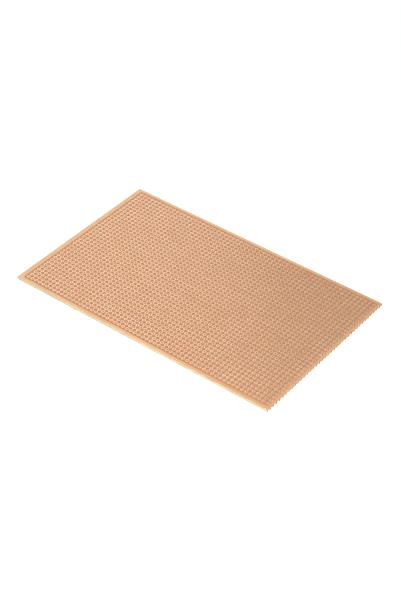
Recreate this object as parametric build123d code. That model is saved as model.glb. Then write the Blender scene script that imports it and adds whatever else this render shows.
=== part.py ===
from build123d import *
import os

# A prototype board, lying copper side up: one sheet of phenolic paper laminate that carries a
# separate copper pad at every point of a 2.54 mm grid. It was snapped from a longer sheet along a
# line of drilled holes, so its +X end is a row of half holes with a tooth between each pair.
# Millimetres, +X along the board, +Z up, origin under the middle of the sheet.

# The grid that leads, sockets and headers share.
pitch = 2.54
pad_columns = 61
pad_rows = 37

# The laminate. A margin runs from the centres of the outer pads to the edge beyond them.
board_thickness = 1.5
plain_end_margin = 4.6
side_margin = 3.81
break_margin = 2.54

# The copper, etched into one round pad at every grid point.
pad_diameter = 2.0
foil_thickness = 0.035

# The holes. The break line has one more hole past each side of the pads.
lead_hole_diameter = 1.0
break_hole_diameter = 1.26
break_holes = pad_rows + 2

# Few sides stand for a round where there are many of it.
break_hole_sides = 8
pad_sides = 4
lead_hole_sides = 4

board_length = plain_end_margin + (pad_columns - 1) * pitch + break_margin
board_width = (pad_rows - 1) * pitch + 2 * side_margin

# Every pad has a lead hole. This model cuts an open grid of them, seven by four, and the two at
# opposite corners that set the board's place in a fixture. The pads tell where the others are.
fixture_points = [(0, 0), (pad_columns - 1, pad_rows - 1)]
open_columns = range(6, pad_columns, 8)
open_rows = range(6, pad_rows, 8)
drilled_points = fixture_points + [(column, row) for row in open_rows for column in open_columns]


def grid_point(column, row):
    """The centre of a pad, counted from the plain end and from the front side."""
    x = -board_length / 2 + plain_end_margin + column * pitch
    y = -board_width / 2 + side_margin + row * pitch
    return Pos(x, y)


def lead_hole(point):
    """The outline of a lead hole. A fixture's pins need the true round."""
    radius = lead_hole_diameter / 2
    return Circle(radius) if point in fixture_points else RegularPolygon(radius, lead_hole_sides)


def laminate_board():
    """The bare sheet, with its break line and the drilled lead holes."""
    sheet = Rectangle(board_length, board_width)
    break_line = Pos(board_length / 2, 0) * GridLocations(0, pitch, 1, break_holes)
    bites = [
        place * RegularPolygon(break_hole_diameter / 2, break_hole_sides) for place in break_line
    ]
    holes = [grid_point(*point) * lead_hole(point) for point in drilled_points]
    return extrude(sheet - bites - holes, board_thickness)


def whole_pad():
    """A pad with no hole, as the plainest solid: three corners on the sheet, one at foil height."""
    reach = pad_diameter / 2
    foot = Polygon((-reach, 0), (0, -reach), (reach, 0), align=None)
    return loft([foot.face(), Vertex(0, reach, foil_thickness)], ruled=True)


def drilled_pad(point):
    """A pad as it is etched and drilled: flat foil round a lead hole."""
    return extrude(RegularPolygon(pad_diameter / 2, pad_sides) - lead_hole(point), foil_thickness)


def pad_row(row):
    """One row of separate pads, bonded to the top of the sheet."""
    top = Pos(0, 0, board_thickness)
    pads = []
    for column in range(pad_columns):
        point = (column, row)
        pad = drilled_pad(point) if point in drilled_points else whole_pad()
        pads.append(top * grid_point(column, row) * pad)
    return Compound(pads)


parts = {"laminate_board": laminate_board()}
for row in range(pad_rows):
    parts[f"pad_row_{row + 1:02d}"] = pad_row(row)

os.makedirs("parts", exist_ok=True)
for name, part in parts.items():
    export_step(part, f"parts/{name}.step")
print(f"board {board_length:.2f} x {board_width:.2f} x {board_thickness} mm,", len(parts), "nodes")
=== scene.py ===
# %% [markdown]
# # A prototype board, copper side up
#
# The real object is one sheet of phenolic paper laminate, drilled on a 2.54 mm grid, with an
# island of copper foil round every hole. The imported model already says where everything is, so
# this lesson adds what the eye wants: real holes, ring-shaped pads, a torn end and good surfaces.
# We start by loading that model as a fixed frame, which nothing below moves or resizes.

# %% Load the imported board
import math
import random

import bpy
from mathutils import Matrix, Vector


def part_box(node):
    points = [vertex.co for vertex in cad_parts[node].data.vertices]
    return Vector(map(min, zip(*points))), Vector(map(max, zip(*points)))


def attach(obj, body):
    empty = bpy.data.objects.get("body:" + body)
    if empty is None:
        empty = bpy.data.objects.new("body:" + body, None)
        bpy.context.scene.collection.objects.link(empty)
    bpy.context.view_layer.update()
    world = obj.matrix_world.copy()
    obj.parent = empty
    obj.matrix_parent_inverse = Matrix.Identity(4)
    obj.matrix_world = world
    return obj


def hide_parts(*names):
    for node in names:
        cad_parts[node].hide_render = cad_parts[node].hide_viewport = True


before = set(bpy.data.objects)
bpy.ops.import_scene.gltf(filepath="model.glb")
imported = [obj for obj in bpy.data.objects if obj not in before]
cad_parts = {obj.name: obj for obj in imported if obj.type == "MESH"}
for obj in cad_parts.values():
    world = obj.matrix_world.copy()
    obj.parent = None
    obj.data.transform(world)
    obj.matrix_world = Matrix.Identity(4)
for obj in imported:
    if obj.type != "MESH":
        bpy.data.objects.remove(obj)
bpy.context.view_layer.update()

print("nodes in the frame:", len(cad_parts))

# %% [markdown]
# ## Sizes come from the frame
#
# Copying numbers by hand into a second file is how drawings drift apart. Each size that the model
# knows is read from it: the sheet from its own box, and the grid from the first and last pad rows.
# A row's own box is one pad longer than its run of steps, which tells how many pads it holds.
# Only what the model keeps in a few places, such as the size of a hole, is written here.

# %% Read the sheet and the grid
MM = 0.001

sheet_low, sheet_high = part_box("laminate_board")
row_nodes = sorted(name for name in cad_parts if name.startswith("pad_row_"))
front_low, front_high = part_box(row_nodes[0])
back_low, back_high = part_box(row_nodes[-1])

pad_rows = len(row_nodes)
pitch = (back_low.y - front_low.y) / (pad_rows - 1)
pad_radius = (front_high.y - front_low.y) / 2
pad_columns = round((front_high.x - front_low.x - 2 * pad_radius) / pitch) + 1
foil_top = front_high.z
sheet_thickness = sheet_high.z - sheet_low.z

first_pad = Vector((front_low.x + pad_radius, front_low.y + pad_radius, sheet_high.z))
last_pad = Vector((back_high.x - pad_radius, back_high.y - pad_radius, sheet_high.z))
lead_hole_radius = 0.5 * MM
break_hole_radius = 0.63 * MM
print(f"grid {pad_columns} x {pad_rows}, pitch {pitch / MM:.3f} mm, pads {2 * pad_radius / MM:.2f} mm")

# %% [markdown]
# ## The camera first
#
# A camera is easiest to reason about as a photographer would set it up: which point it looks at,
# from how far, from which side, and how high. The lens is long, so the far side of the board is
# almost as wide as the near side. The camera leans half a degree, as a hand-levelled one does.
# Blender's lens is counted on the long side of the picture, which here is its height.

# %% Place the camera
picture_width, picture_height = 401, 601
focal_length_in_pixels = 1537.4
sensor_long_side = 36.0
aim = Vector((6.2 * MM, -5.97 * MM, sheet_high.z))
camera_distance = 779.7 * MM
camera_azimuth = math.radians(37.54)
camera_elevation = math.radians(39.89)
camera_roll = math.radians(0.555)

back = Vector((math.sin(camera_azimuth) * math.cos(camera_elevation),
               -math.cos(camera_azimuth) * math.cos(camera_elevation),
               math.sin(camera_elevation)))
level_right = Vector((math.cos(camera_azimuth), math.sin(camera_azimuth), 0))
level_up = back.cross(level_right)
right = level_right * math.cos(camera_roll) + level_up * math.sin(camera_roll)
up = level_up * math.cos(camera_roll) - level_right * math.sin(camera_roll)

camera_data = bpy.data.cameras.new("portrait_camera")
camera_data.sensor_width = sensor_long_side
camera_data.lens = focal_length_in_pixels * sensor_long_side / max(picture_width, picture_height)
camera = bpy.data.objects.new("portrait_camera", camera_data)
bpy.context.scene.collection.objects.link(camera)
turn = Matrix((right, up, back)).transposed()
camera.matrix_world = Matrix.Translation(aim + back * camera_distance) @ turn.to_4x4()
bpy.context.scene.camera = camera
bpy.context.scene.view_settings.view_transform = "Standard"
print(f"lens {camera_data.lens:.1f} mm")

# %% [markdown]
# ## Helpers for working as by hand
#
# Operators act on whatever is selected, so every step begins by clearing the selection. In edit
# mode the two things we need again and again are choosing parts of the mesh by where they are,
# and telling an operator to act on them. Both are kept tiny, so that each piece reads as the list
# of moves a modeller would make.

# %% Selection helpers
import bmesh

near = 0.01 * MM
select_modes = {"verts": "VERT", "edges": "EDGE", "faces": "FACE"}


def start_clean():
    """Leave edit mode and select nothing."""
    if bpy.context.object and bpy.context.object.mode != "OBJECT":
        bpy.ops.object.mode_set(mode="OBJECT")
    bpy.ops.object.select_all(action="DESELECT")


def work_on(piece):
    """Select one piece and make it the active one."""
    start_clean()
    piece.select_set(True)
    bpy.context.view_layer.objects.active = piece


def pick(kind, where):
    """In edit mode, select only the vertices, edges or faces for which where(element) is true."""
    mesh = bpy.context.object.data
    bpy.ops.mesh.select_mode(type=select_modes[kind])
    bpy.ops.mesh.select_all(action="DESELECT")
    edit = bmesh.from_edit_mesh(mesh)
    chosen = [element for element in getattr(edit, kind) if where(element)]
    for element in chosen:
        element.select_set(True)
    edit.select_flush_mode()
    bmesh.update_edit_mesh(mesh)
    return len(chosen)


def lies_at(axis, value):
    """A test that is true for an edge whose two ends both have this coordinate."""
    return lambda edge: all(abs(end.co[axis] - value) < near for end in edge.verts)


def ends_at(axis, value):
    """The same test, for edges on the open rim of a sheet."""
    on_line = lies_at(axis, value)
    return lambda edge: edge.is_boundary and on_line(edge)


def pull(step):
    """Extrude the selected rim by a step, given as (x, y, z)."""
    bpy.ops.mesh.extrude_region_move(TRANSFORM_OT_translate={"value": step})


def repeat_along(piece, step, count, merge):
    """Array a piece along a constant step, and apply it."""
    array = piece.modifiers.new("repeat", "ARRAY")
    array.use_relative_offset = False
    array.use_constant_offset = True
    array.constant_offset_displace = step
    array.count = count
    array.use_merge_vertices = merge
    array.merge_threshold = near
    bpy.ops.object.modifier_apply(modifier=array.name)


def triangles(piece):
    """How many triangles a piece makes."""
    return sum(len(face.vertices) - 2 for face in piece.data.polygons)


print(f"points closer than {near / MM:.2f} mm count as one")

# %% [markdown]
# ## One drilled cell of the grid
#
# Every grid square of the sheet is the same: a square with a round hole. A modeller draws the
# hole as a twelve-sided loop, draws the square round it, gives the square twelve points too, and
# bridges the two loops. With equal counts the bridge is clean quads, and the square's points
# match its neighbours', so that copies merge into one sheet. Twelve sides look round on a
# millimetre hole, and with over two thousand of them each side has a price.

# %% Make a drilled cell
hole_sides = 12
edges_per_side = hole_sides // 4
eighth_turn = math.pi / 4


def drilled_cell(name, centre, radius):
    """A square of one grid pitch with a round hole, as a flat sheet in edit mode."""
    start_clean()
    bpy.ops.mesh.primitive_circle_add(vertices=hole_sides, radius=radius, location=centre,
                                      rotation=(0, 0, math.pi / hole_sides))
    piece = bpy.context.object
    piece.name = name
    piece.data.name = name
    bpy.ops.object.transform_apply(location=True, rotation=True, scale=True)
    bpy.ops.object.mode_set(mode="EDIT")
    bpy.ops.mesh.select_all(action="DESELECT")
    bpy.ops.mesh.primitive_circle_add(vertices=4, radius=pitch / math.sqrt(2), location=centre,
                                      rotation=(0, 0, eighth_turn))
    bpy.ops.mesh.subdivide(number_cuts=edges_per_side - 1)
    bpy.ops.mesh.select_all(action="SELECT")
    bpy.ops.mesh.bridge_edge_loops()
    bpy.ops.object.mode_set(mode="OBJECT")
    return piece


board = drilled_cell("drilled_board", first_pad, lead_hole_radius)
print("faces in one cell:", len(board.data.polygons))

# %% [markdown]
# ## The whole drilled field, then the margins
#
# Two arrays turn the cell into the field, and merging joins the copies at their shared points.
# The bare margins are pulled out of the field's own rim, so there is never a seam to hide. The
# snapped end gets none: its break line is the next column of the grid. The front and back margins
# are pulled in three steps, because the break line has three edges to a pitch and its points have
# to meet ours.

# %% Array the field and pull out the margins
repeat_along(board, (pitch, 0, 0), pad_columns, merge=True)
repeat_along(board, (0, pitch, 0), pad_rows, merge=True)

field_low = first_pad - Vector((pitch / 2, pitch / 2, 0))
field_high = last_pad + Vector((pitch / 2, pitch / 2, 0))

bpy.ops.object.mode_set(mode="EDIT")
pick("edges", ends_at(0, field_low.x))
pull((sheet_low.x - field_low.x, 0, 0))
for rim_y, edge_y in ((field_low.y, sheet_low.y), (field_high.y, sheet_high.y)):
    step = (edge_y - rim_y) / edges_per_side
    for count in range(edges_per_side):
        pick("edges", ends_at(1, rim_y + count * step))
        pull((0, step, 0))
bpy.ops.object.mode_set(mode="OBJECT")
print("triangles in the flat sheet:", triangles(board))

# %% [markdown]
# ## The snapped end
#
# The board was broken off a longer one along a row of holes, so its end is half holes with torn
# teeth between them. It is made the way it came about: a strip of drilled cells is cut through the
# middle of its holes with a bisect. The cut edge of each tooth gets a few more points, which are
# torn once the sheet has its thickness. Joining the strip to the board and merging their shared
# points makes them one sheet again.

# %% Cut the break strip
cuts_per_tooth_edge = 4
break_start = Vector((sheet_high.x, sheet_low.y + pitch / 2, sheet_high.z))
break_count = round((sheet_high.y - sheet_low.y) / pitch)
strip = drilled_cell("break_strip", break_start, break_hole_radius)
repeat_along(strip, (0, pitch, 0), break_count, merge=True)
bpy.ops.object.mode_set(mode="EDIT")
bpy.ops.mesh.select_all(action="SELECT")
bpy.ops.mesh.bisect(plane_co=break_start, plane_no=(1, 0, 0), clear_outer=True)
pick("edges", ends_at(0, break_start.x))
bpy.ops.mesh.subdivide(number_cuts=cuts_per_tooth_edge)
bpy.ops.object.mode_set(mode="OBJECT")
print("half holes:", break_count)

# %% Join the strip to the board
work_on(board)
strip.select_set(True)
bpy.ops.object.join()
bpy.ops.object.mode_set(mode="EDIT")
bpy.ops.mesh.select_all(action="SELECT")
bpy.ops.mesh.remove_doubles(threshold=near)
pick("faces", lambda face: face.normal.z < 0)
bpy.ops.mesh.flip_normals()
bpy.ops.object.mode_set(mode="OBJECT")
print("triangles with the snapped end:", triangles(board))

# %% [markdown]
# ## Thickness, torn teeth and eased edges
#
# Solidify gives the flat sheet its 1.5 mm and walls every hole in one move. Then the teeth are
# torn: their points are nudged back from the break line in a few groups, top and bottom apart, so
# that the fracture leans and wanders. The sawn sides keep a hair of a chamfer, which is what
# catches the light along a real board's edge.

# %% Give the sheet its thickness
work_on(board)
solid = board.modifiers.new("thickness", "SOLIDIFY")
solid.thickness = sheet_thickness
solid.offset = -1
bpy.ops.object.modifier_apply(modifier=solid.name)
print("triangles with thickness:", triangles(board))

# %% Tear the teeth
tear_depths = [0.05 * MM, 0.1 * MM, 0.16 * MM, 0.24 * MM]
torn_share = 0.3
chance = random.Random(39)


def is_torn(point):
    """True for some of the points that still lie on the break line, by chance."""
    return point.co.x > break_start.x - near and chance.random() < torn_share


bpy.ops.object.mode_set(mode="EDIT")
for depth in tear_depths:
    count = pick("verts", is_torn)
    bpy.ops.transform.translate(value=(-depth, 0, 0))
    print(f"points torn back by {depth / MM:.2f} mm:", count)

# %% Ease the sawn sides
ease = 0.07 * MM
sawn_sides = ((0, sheet_low.x), (1, sheet_low.y), (1, sheet_high.y))


def on_sawn_corner(edge):
    """True for the long top and bottom edges of the three sawn sides."""
    on_a_face = any(lies_at(2, height)(edge) for height in (sheet_low.z, sheet_high.z))
    return on_a_face and any(lies_at(axis, value)(edge) for axis, value in sawn_sides)


pick("edges", on_sawn_corner)
bpy.ops.mesh.bevel(offset=ease, segments=1, affect="EDGES")
bpy.ops.mesh.select_all(action="SELECT")
bpy.ops.mesh.normals_make_consistent(inside=False)
bpy.ops.object.mode_set(mode="OBJECT")
print("triangles in the board:", triangles(board))

# %% [markdown]
# ## One copper pad
#
# A pad is a flat round of foil, 35 microns thick, with its hole drilled through it. Again two
# loops are bridged, and the outer rim is then pulled down to the laminate. Etching eats the foil's
# upper corner, so that one edge gets a small bevel: it is the line of light round each pad in a
# close view. The foil's wall inside the hole is left out, because nothing shows it.

# %% Make one pad
pad_sides = 16
etched_corner = 0.02 * MM
foil_centre = (first_pad.x, first_pad.y, foil_top)
middle_of_ring = (lead_hole_radius + pad_radius) / 2


def outer_rim(edge):
    """True for the outer edge of the foil's top."""
    reach = min((end.co.xy - first_pad.xy).length for end in edge.verts)
    return lies_at(2, foil_top)(edge) and reach > middle_of_ring


start_clean()
bpy.ops.mesh.primitive_circle_add(vertices=pad_sides, radius=pad_radius, location=foil_centre)
pad = bpy.context.object
bpy.ops.object.transform_apply(location=True, rotation=True, scale=True)
bpy.ops.object.mode_set(mode="EDIT")
bpy.ops.mesh.select_all(action="DESELECT")
bpy.ops.mesh.primitive_circle_add(vertices=pad_sides, radius=lead_hole_radius, location=foil_centre)
bpy.ops.mesh.select_all(action="SELECT")
bpy.ops.mesh.bridge_edge_loops()
pick("edges", outer_rim)
pull((0, 0, sheet_high.z - foil_top))
pick("edges", outer_rim)
bpy.ops.mesh.bevel(offset=etched_corner, segments=1, affect="EDGES")
bpy.ops.mesh.select_all(action="SELECT")
bpy.ops.mesh.normals_make_consistent(inside=False)
bpy.ops.object.mode_set(mode="OBJECT")
print("faces in one pad:", len(pad.data.polygons))

# %% [markdown]
# ## Thirty-seven rows of pads
#
# One array makes the first row. The others are copies of it, each with a mesh of its own, shifted
# in the mesh and not by the object, so that every object stays at the origin as the frame wants.

# %% Copy the pads into rows
repeat_along(pad, (pitch, 0, 0), pad_columns, merge=False)
pad.name = pad.data.name = "copper_row_01"
copper_rows = [pad]
for count in range(1, pad_rows):
    copy = pad.copy()
    copy.data = pad.data.copy()
    copy.name = copy.data.name = f"copper_row_{count + 1:02d}"
    copy.data.transform(Matrix.Translation((0, count * pitch, 0)))
    bpy.context.scene.collection.objects.link(copy)
    copper_rows.append(copy)
print("triangles in a row of pads:", triangles(pad), "and in all rows:", triangles(pad) * pad_rows)

# %% [markdown]
# ## Colours as the eye reads them
#
# Shaders count light, and a screen's numbers don't: half the number is about a fifth of the light.
# So each tone below is written as a screen shows it, and turned into light here. The curve and its
# straight foot are the sRGB standard's.

# %% Colour helper


def srgb(red, green, blue):
    """A colour as it is read off a screen, turned into the linear values that shaders use."""
    def linear(value):
        value = value / 255
        return value / 12.92 if value <= 0.04045 else ((value + 0.055) / 1.055) ** 2.4
    return (linear(red), linear(green), linear(blue), 1)


print("half the number is", round(srgb(128, 128, 128)[0], 2), "of the light")

# %% [markdown]
# ## A small kit for building materials
#
# Materials are networks of nodes. A few short calls keep them readable: one does a sum, one makes
# noise, one maps a stretch of numbers onto another, and one blends two colours. Everything reads
# Object coordinates, which on these pieces are simply metres in the board's own frame, so a
# noise's scale counts how many of its lumps go into a metre.

# %% Node helpers


class Finish:
    """A new material with one Principled shader, and short calls that add nodes to it."""

    def __init__(self, name):
        self.material = bpy.data.materials.new(name)
        self.material.use_nodes = True
        self.nodes = self.material.node_tree.nodes
        self.links = self.material.node_tree.links
        self.shader = self.nodes["Principled BSDF"]
        self.place = self.nodes.new("ShaderNodeTexCoord").outputs["Object"]

    def plug(self, value, socket):
        """Link a socket, or set a plain value."""
        if isinstance(value, bpy.types.NodeSocket):
            self.links.new(value, socket)
        else:
            socket.default_value = value

    def sum(self, operation, first, second=0.0):
        """A Math node."""
        node = self.nodes.new("ShaderNodeMath")
        node.operation = operation
        for value, socket in zip((first, second), node.inputs):
            self.plug(value, socket)
        return node.outputs[0]

    def stretched(self, scale):
        """The coordinates, stretched by a Mapping node."""
        node = self.nodes.new("ShaderNodeMapping")
        node.inputs["Scale"].default_value = scale
        self.links.new(self.place, node.inputs["Vector"])
        return node.outputs[0]

    def noise(self, scale, detail, roughness, place=None):
        """A Noise texture's value, from 0 to 1."""
        node = self.nodes.new("ShaderNodeTexNoise")
        node.inputs["Scale"].default_value = scale
        node.inputs["Detail"].default_value = detail
        node.inputs["Roughness"].default_value = roughness
        self.links.new(place or self.place, node.inputs["Vector"])
        return node.outputs["Fac"]

    def fade(self, value, low, high, to_low=0.0, to_high=1.0):
        """Smoothly map a stretch of one value onto another, and hold it beyond."""
        node = self.nodes.new("ShaderNodeMapRange")
        node.interpolation_type = "SMOOTHSTEP"
        for number, socket in zip((value, low, high, to_low, to_high), node.inputs):
            self.plug(number, socket)
        return node.outputs[0]

    def blend(self, amount, first, second):
        """Mix two colours."""
        node = self.nodes.new("ShaderNodeMix")
        node.data_type = "RGBA"
        self.plug(amount, node.inputs["Factor"])
        self.plug(first, node.inputs["A"])
        self.plug(second, node.inputs["B"])
        return node.outputs["Result"]

    def axes(self):
        """The coordinates as three numbers."""
        node = self.nodes.new("ShaderNodeSeparateXYZ")
        self.links.new(self.place, node.inputs[0])
        return node.outputs

    def bump(self, height, distance, strength=1.0):
        """A Bump node into the shader's normal."""
        node = self.nodes.new("ShaderNodeBump")
        node.inputs["Strength"].default_value = strength
        node.inputs["Distance"].default_value = distance
        self.links.new(height, node.inputs["Height"])
        self.links.new(node.outputs[0], self.shader.inputs["Normal"])

    def towards_break(self):
        """0 over the half of the board with the plain end, rising to 1 at the last column."""
        return self.fade(self.axes()[0], 0.0, last_pad.x)


# %% [markdown]
# ## Phenolic paper laminate
#
# The sheet is brown paper pressed with resin: tan, faintly mottled, satin, with pale fibres. On
# the photograph the bare margins glow more orange than the gaps between the pads, because light
# gets into the sheet from its edge and from the bench below, and copper keeps it out of the
# middle. That light is painted into the colour: it is blended from a margin tone to a deeper
# field tone, by the distance from the outermost pads. Towards the snapped end the margins are
# painted darker, as painted shade, and the field lighter, as painted light, and the mottling
# goes on top.

# %% Laminate face
# The margin tone is painted light and the deeper field tone is painted shade; the break tones paint
# the margins darker and the field lighter towards the snapped end.
margin_tone = srgb(227, 180, 136)
break_margin_painted_shade = srgb(208, 159, 116)
field_tone = srgb(174, 114, 74)
break_field_painted_light = srgb(182, 124, 85)
cloud_tone = srgb(190, 128, 84)
fibre_tone = srgb(246, 212, 170)
along_the_fibre = (0.35, 1.0, 1.0)
fibre_height = 0.01 * MM

# How far the field tone reaches past the centres of the outermost pads, and its soft border.
field_reach = 1.8 * MM
break_reach = 1.1 * MM
field_border = 0.55 * MM


def field_mask(finish):
    """1 inside the pad field and 0 on the margins, with a soft border."""
    x, y, _ = finish.axes()
    bands = []
    for value, low, high in ((x, first_pad.x - field_reach, last_pad.x + break_reach),
                             (y, first_pad.y - field_reach, last_pad.y + field_reach)):
        after = finish.fade(value, low - field_border, low + field_border)
        before = finish.fade(value, high - field_border, high + field_border, to_low=1.0, to_high=0.0)
        bands.append(finish.sum("MULTIPLY", after, before))
    return finish.sum("MULTIPLY", *bands)


def laminate_face():
    """The pressed top and bottom of the sheet."""
    finish = Finish("phenolic_paper_face")
    towards_break = finish.towards_break()
    # Painted shade on the margins and painted light in the field, growing towards the snapped end.
    outer_tone = finish.blend(towards_break, margin_tone, break_margin_painted_shade)
    inner_tone = finish.blend(towards_break, field_tone, break_field_painted_light)
    tone = finish.blend(field_mask(finish), outer_tone, inner_tone)
    cloud = finish.noise(scale=180, detail=4.0, roughness=0.6)
    fibre = finish.noise(scale=900, detail=4.0, roughness=0.7,
                         place=finish.stretched(along_the_fibre))
    tone = finish.blend(finish.fade(cloud, 0.35, 0.75, to_high=0.22), tone, cloud_tone)
    tone = finish.blend(finish.fade(fibre, 0.56, 0.74, to_high=0.25), tone, fibre_tone)
    satin = finish.fade(cloud, 0.3, 0.8, to_low=0.38, to_high=0.55)
    finish.plug(tone, finish.shader.inputs["Base Color"])
    finish.plug(satin, finish.shader.inputs["Roughness"])
    finish.bump(fibre, fibre_height, strength=0.6)
    return finish.material


face_material = laminate_face()
print("nodes in the laminate face:", len(face_material.node_tree.nodes))

# %% [markdown]
# ## The sheet's cut faces
#
# Where the saw has been, the resin is bruised to a pale cream and the paper's plies show as fine
# level lines; towards the snapped end the sawn sides are painted darker, as painted shade. The torn
# teeth are rougher, and their deeper brown is painted shade. The drilled walls are brown too, and
# painted paler towards the snapped end, as painted light for the light that gets into them there.
# The sheet lets some light through, so all three scatter it under the surface, red furthest. One
# function makes them, with a tone for each end of the board, a tone for the plies, a roughness and
# a depth for the ripples.

# %% Cut faces
light_reach = 0.8 * MM
light_reach_by_colour = (1.0, 0.55, 0.3)
flat_and_thin = (0.12, 0.12, 6.0)


def cut_face(name, tone, painted_light_and_shade_end_tone, ply_tone, roughness, ripple):
    """A cut through the plies, with level lines and a grain."""
    finish = Finish(name)
    finish.shader.subsurface_method = "RANDOM_WALK"
    finish.shader.inputs["Subsurface Weight"].default_value = 1.0
    finish.shader.inputs["Subsurface Radius"].default_value = light_reach_by_colour
    finish.shader.inputs["Subsurface Scale"].default_value = light_reach
    plies = finish.noise(scale=700, detail=3.0, roughness=0.6,
                         place=finish.stretched(flat_and_thin))
    grain = finish.noise(scale=2600, detail=3.0, roughness=0.6)
    # Towards the snapped end the tone turns to the end tone: painted shade on the sawn sides, painted
    # light in the drilled walls.
    colour = finish.blend(finish.towards_break(), tone, painted_light_and_shade_end_tone)
    colour = finish.blend(finish.fade(plies, 0.42, 0.62, to_high=0.5), colour, ply_tone)
    colour = finish.blend(finish.fade(grain, 0.5, 0.8, to_high=0.25), colour, ply_tone)
    finish.plug(colour, finish.shader.inputs["Base Color"])
    finish.plug(roughness, finish.shader.inputs["Roughness"])
    finish.bump(finish.sum("ADD", plies, grain), ripple)
    return finish.material


# %% Make the three cuts
# The sawn sides' second tone is painted shade, the torn teeth's dark tone is painted shade, and the
# drilled walls' pale second tone is painted light.
sawn_material = cut_face("sawn_plies", srgb(250, 243, 213), srgb(232, 219, 189),
                         srgb(222, 192, 148), roughness=0.7, ripple=0.02 * MM)
torn_material = cut_face("torn_plies", srgb(172, 134, 102), srgb(172, 134, 102),
                         srgb(150, 112, 82), roughness=0.85, ripple=0.08 * MM)
drilled_material = cut_face("drilled_plies", srgb(222, 172, 130), srgb(255, 226, 196),
                            srgb(186, 138, 100), roughness=0.75, ripple=0.02 * MM)
print("nodes in a cut face:", len(sawn_material.node_tree.nodes))

# %% [markdown]
# ## Copper foil
#
# Bare copper under a thin flux lacquer is a satin metal: salmon pink, scrubbed along the board
# before it was coated, and never quite the same from pad to pad. The scrub marks are a noise that
# is stretched along the board. The change from pad to pad comes from rounding the coordinates to
# whole grid squares, so that each pad gets one random number of its own.

# %% Copper
copper_tone = srgb(250, 212, 179)
tarnish_tone = srgb(230, 176, 138)
scrubbed_tone = srgb(255, 226, 200)
along_the_scrub = (0.08, 1.0, 1.0)
scrub_depth = 0.004 * MM


def number_per_pad(finish):
    """A random number from 0 to 1 that is the same all over a grid square."""
    square = finish.nodes.new("ShaderNodeCombineXYZ")
    for place, start, socket in zip(finish.axes(), first_pad.xy, square.inputs):
        steps = finish.sum("DIVIDE", finish.sum("SUBTRACT", place, start), pitch)
        finish.plug(finish.sum("ROUND", steps), socket)
    lot = finish.nodes.new("ShaderNodeTexWhiteNoise")
    finish.links.new(square.outputs[0], lot.inputs["Vector"])
    return lot.outputs["Value"]


def copper_foil():
    """Scrubbed and lacquered copper."""
    finish = Finish("scrubbed_copper")
    lot = number_per_pad(finish)
    scrub = finish.noise(scale=1500, detail=4.0, roughness=0.65,
                         place=finish.stretched(along_the_scrub))
    stain = finish.noise(scale=60, detail=4.0, roughness=0.6)
    tone = finish.blend(finish.fade(lot, 0.0, 1.0, to_high=0.22), copper_tone, tarnish_tone)
    tone = finish.blend(finish.fade(stain, 0.45, 0.8, to_high=0.35), tone, tarnish_tone)
    tone = finish.blend(finish.fade(scrub, 0.5, 0.75, to_high=0.2), tone, scrubbed_tone)
    satin = finish.fade(scrub, 0.3, 0.75, to_low=0.3, to_high=0.42)
    finish.plug(tone, finish.shader.inputs["Base Color"])
    finish.plug(satin, finish.shader.inputs["Roughness"])
    finish.shader.inputs["Metallic"].default_value = 1.0
    finish.bump(scrub, scrub_depth, strength=0.5)
    return finish.material


copper_material = copper_foil()
print("nodes in the copper:", len(copper_material.node_tree.nodes))

# %% [markdown]
# ## Give each face its finish
#
# The board has one slot for each kind of surface. Its faces are chosen by where they look and
# where they lie: level ones are pressed faces, those on the outline are sawn, and those of the
# teeth that look outwards are torn. The other upright ones line the holes. All faces start in the
# first slot, and a later choice overrules an earlier one.

# %% Choose the faces
level_normal = 0.9
outward_normal = 0.5

# No point is torn back as far as this.
torn_reach = sheet_high.x - sum(tear_depths)


def is_upright(face):
    """True for every face but the level ones."""
    return abs(face.normal.z) < level_normal


def on_sawn_side(face):
    """True for the three straight sides and their eased corners."""
    middle = face.calc_center_median()
    return is_upright(face) and any(abs(middle[axis] - value) < ease for axis, value in sawn_sides)


def on_torn_end(face):
    """True for the broken faces of the teeth, but not for the walls of the half holes."""
    return face.normal.x > outward_normal and face.calc_center_median().x > torn_reach


# %% Assign the finishes to the board
for material in (face_material, drilled_material, sawn_material, torn_material):
    board.data.materials.append(material)
work_on(board)
bpy.ops.object.mode_set(mode="EDIT")
for index, where in enumerate((is_upright, on_sawn_side, on_torn_end), start=1):
    count = pick("faces", where)
    board.active_material_index = index
    bpy.ops.object.material_slot_assign()
    print("faces with", board.data.materials[index].name, count)
bpy.ops.object.mode_set(mode="OBJECT")

# %% Assign the copper
for row in copper_rows:
    row.data.materials.append(copper_material)
print("rows of copper:", len(copper_rows))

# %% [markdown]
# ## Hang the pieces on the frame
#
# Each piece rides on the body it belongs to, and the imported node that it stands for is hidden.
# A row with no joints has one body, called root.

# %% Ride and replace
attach(board, "root")
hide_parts("laminate_board")
for row, node in zip(copper_rows, row_nodes):
    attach(row, "root")
    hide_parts(node)
print("pieces on the frame:", 1 + len(copper_rows))

# %% [markdown]
# ## Floor and background
#
# The board lies on white paper that runs out to pure white. The floor is a pale diffuse surface,
# so it still takes the board's shadow, and it adds a little light of its own, but only to what
# the camera sees directly or in a reflection. That light is weak beside the board, where the lamps
# do the work and the shadow has to show, and stronger further out. The world is as white to those
# rays, so that the copper mirrors the white room that the camera sees, and gives the rest a much
# weaker light.

# %% Floor
floor_size = 6.0
floor_gap = 0.02 * MM

start_clean()
bpy.ops.mesh.primitive_plane_add(size=floor_size, location=(0, 0, sheet_low.z - floor_gap))
floor = bpy.context.object
floor.name = "paper_floor"
print("floor at", round(sheet_low.z - floor_gap, 6), "m")

# %% Rays that see the white room


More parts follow.
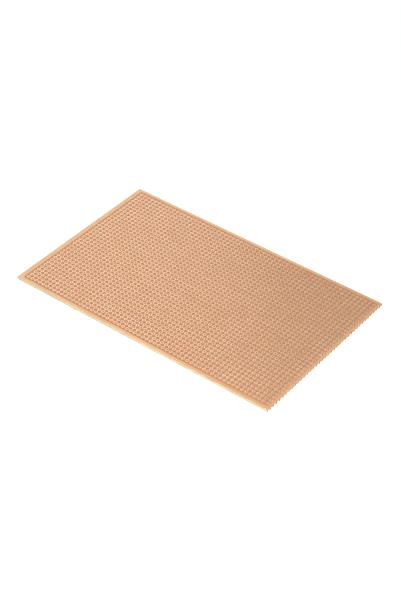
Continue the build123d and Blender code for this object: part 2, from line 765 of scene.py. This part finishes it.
def seen_directly(nodes, links):
    """A number that is 1 for camera, glossy and transmission rays and 0 for all others."""
    path = nodes.new("ShaderNodeLightPath")
    total = path.outputs["Is Camera Ray"]
    for name in ("Is Glossy Ray", "Is Transmission Ray"):
        either = nodes.new("ShaderNodeMath")
        either.operation = "MAXIMUM"
        links.new(total, either.inputs[0])
        links.new(path.outputs[name], either.inputs[1])
        total = either.outputs[0]
    return total


# %% White paper
white = (1, 1, 1, 1)
black = (0, 0, 0, 1)
paper_tone = (0.8, 0.8, 0.8, 1)
glow_by_board, glow_far_off = 0.38, 0.76
lamplit_reach, unlit_reach = 0.15, 0.7

paper = Finish("white_paper")
paper.shader.inputs["Base Color"].default_value = paper_tone
paper.shader.inputs["Roughness"].default_value = 0.9
paper.shader.inputs["Specular IOR Level"].default_value = 0.0
distance = paper.nodes.new("ShaderNodeVectorMath")
distance.operation = "LENGTH"
paper.links.new(paper.place, distance.inputs[0])
glow = paper.fade(distance.outputs["Value"], lamplit_reach, unlit_reach, glow_by_board, glow_far_off)
glow = paper.sum("MULTIPLY", glow, seen_directly(paper.nodes, paper.links))
paper.shader.inputs["Emission Color"].default_value = white
paper.plug(glow, paper.shader.inputs["Emission Strength"])
floor.data.materials.append(paper.material)
print("nodes in the paper:", len(paper.nodes))

# %% World
room_light = 0.35

world = bpy.data.worlds.new("white_room")
bpy.context.scene.world = world
world.use_nodes = True
nodes, links = world.node_tree.nodes, world.node_tree.links
background = nodes["Background"]
background.inputs["Color"].default_value = white
strength = nodes.new("ShaderNodeMapRange")
links.new(seen_directly(nodes, links), strength.inputs["Value"])
strength.inputs["To Min"].default_value = room_light
strength.inputs["To Max"].default_value = 1.0
links.new(strength.outputs[0], background.inputs["Strength"])
print("light of the room:", room_light)

# %% [markdown]
# ## Three lamps
#
# Two lamps light the surfaces that scatter: a large window at the left, and a softbox beside the
# camera, which looks into the drilled holes and onto the snapped end. They are hidden from
# reflections, so that the copper mirrors only the white room, and a third lamp is there for the
# copper alone. No lamp is seen by the camera, wherever it stands.

# %% Lamps


def add_lamp(name, place, size, power):
    """A square lamp that faces the middle of the board."""
    data = bpy.data.lights.new(name, "AREA")
    data.shape = "SQUARE"
    data.size = size
    data.energy = power
    lamp = bpy.data.objects.new(name, data)
    bpy.context.scene.collection.objects.link(lamp)
    lamp.matrix_world = (Matrix.Translation(place)
                         @ (-place).to_track_quat("-Z", "Y").to_matrix().to_4x4())
    lamp.visible_camera = False
    return lamp


soft_window = add_lamp("soft_window", Vector((-0.30, 0.05, 0.32)), size=0.25, power=0.85)
camera_softbox = add_lamp("camera_softbox", Vector((0.28, -0.18, 0.27)), size=0.15, power=1.36)
sheen_window = add_lamp("sheen_window", Vector((-0.33, 0.26, 0.32)), size=0.3, power=0.12)
soft_window.visible_glossy = camera_softbox.visible_glossy = False
sheen_window.visible_diffuse = False
for lamp in (soft_window, camera_softbox, sheen_window):
    print(f"{lamp.name}: {lamp.data.energy:.2f} W")

# %% [markdown]
# ## A grey card for the copper
#
# In a wholly white room every pad would be equally bright, but in the photograph they darken
# towards the far right. A photographer gets that with a card: a grey plane over the far side, with
# its edge turned, that only reflections can see. The further right a pad lies, the more of the
# card it mirrors.

# %% Grey card
card_size = 0.6
card_edge = Vector((-0.074, 0.168, 0.18))
card_turn = math.radians(22.5)
card_grey = 0.53

start_clean()
card_middle = card_edge + Vector((math.cos(card_turn), math.sin(card_turn), 0)) * card_size / 2
bpy.ops.mesh.primitive_plane_add(size=card_size, location=card_middle, rotation=(0, 0, card_turn))
card = bpy.context.object
card.name = "grey_card"
card.visible_camera = card.visible_diffuse = card.visible_shadow = card.visible_transmission = False

# %% Paint the card
card_material = bpy.data.materials.new("grey_card")
card_material.use_nodes = True
card_shader = card_material.node_tree.nodes["Principled BSDF"]
card_shader.inputs["Base Color"].default_value = black
card_shader.inputs["Specular IOR Level"].default_value = 0.0
card_shader.inputs["Emission Color"].default_value = white
card_shader.inputs["Emission Strength"].default_value = card_grey
card.data.materials.append(card_material)
print("the card mirrors as", card_grey, "of white")

# %% [markdown]
# ## Finish

# %% Finish
bpy.context.view_layer.update()
